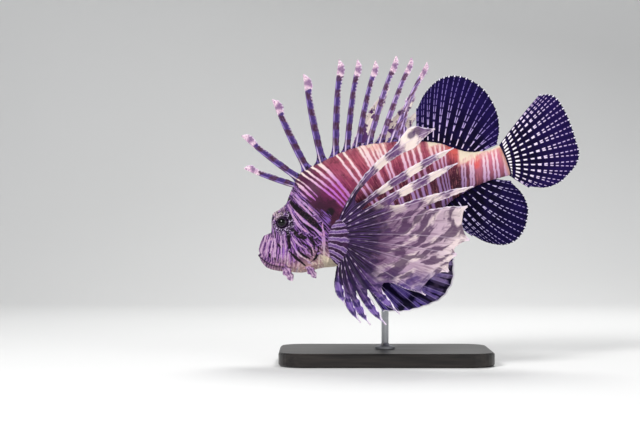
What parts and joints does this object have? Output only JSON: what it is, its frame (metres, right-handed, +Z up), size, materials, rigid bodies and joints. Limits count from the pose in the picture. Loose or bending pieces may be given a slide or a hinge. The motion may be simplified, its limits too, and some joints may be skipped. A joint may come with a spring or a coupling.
{
  "type": "red lionfish model",
  "caption": "Life-size still model of a red lionfish hovering nose down with fanned pectoral fins and raised dorsal spines, held by one rod on a flat display stand.",
  "frame": {"origin": "middle of the stand's flat underside, below the rod that carries the belly", "axes": "+Z up; the snout points along -X and the tail along +X; the fish's left side faces -Y"},
  "size_m": [0.3051, 0.1878, 0.2758],
  "materials": {
    "body_skin": "satin fish skin with fine scales: broad maroon bands between narrow cream to lilac lines",
    "head_skin": "satin skin, violet purple with fine lilac lines round the eye and a cream-pink throat",
    "pectoral_skin": "thin lilac membrane with purple blotches and pale rays",
    "spine_skin": "pale spine with a narrow skin behind it, banded violet and brown-purple",
    "dark_fin": "dark indigo membrane with pale dashes along the rays",
    "flap_skin": "soft skin flap, cream lilac with brown bars",
    "eye": "glossy black eye with a thin dark iris",
    "stand_plate": "satin black display plate with bevelled edges",
    "stand_steel": "brushed steel rod with a turned foot"
  },
  "bodies": {
    "root": {"trunk": "body_skin", "head": "head_skin", "lower_jaw": "head_skin", "tail_root": "body_skin", "eye_left": "eye", "pectoral_fin_left": "pectoral_skin", "pelvic_fin_left": "dark_fin", "brow_tentacle_left": "flap_skin", "jaw_flap_left": "flap_skin", "cheek_flap_left": "flap_skin", "eye_right": "eye", "pectoral_fin_right": "pectoral_skin", "pelvic_fin_right": "dark_fin", "brow_tentacle_right": "flap_skin", "jaw_flap_right": "flap_skin", "cheek_flap_right": "flap_skin", "dorsal_spines": "spine_skin", "soft_dorsal_fin": "dark_fin", "tail_fin": "dark_fin", "anal_fin": "dark_fin", "stand_base": "stand_plate", "stand_rod": "stand_steel"}
  },
  "joints": []
}
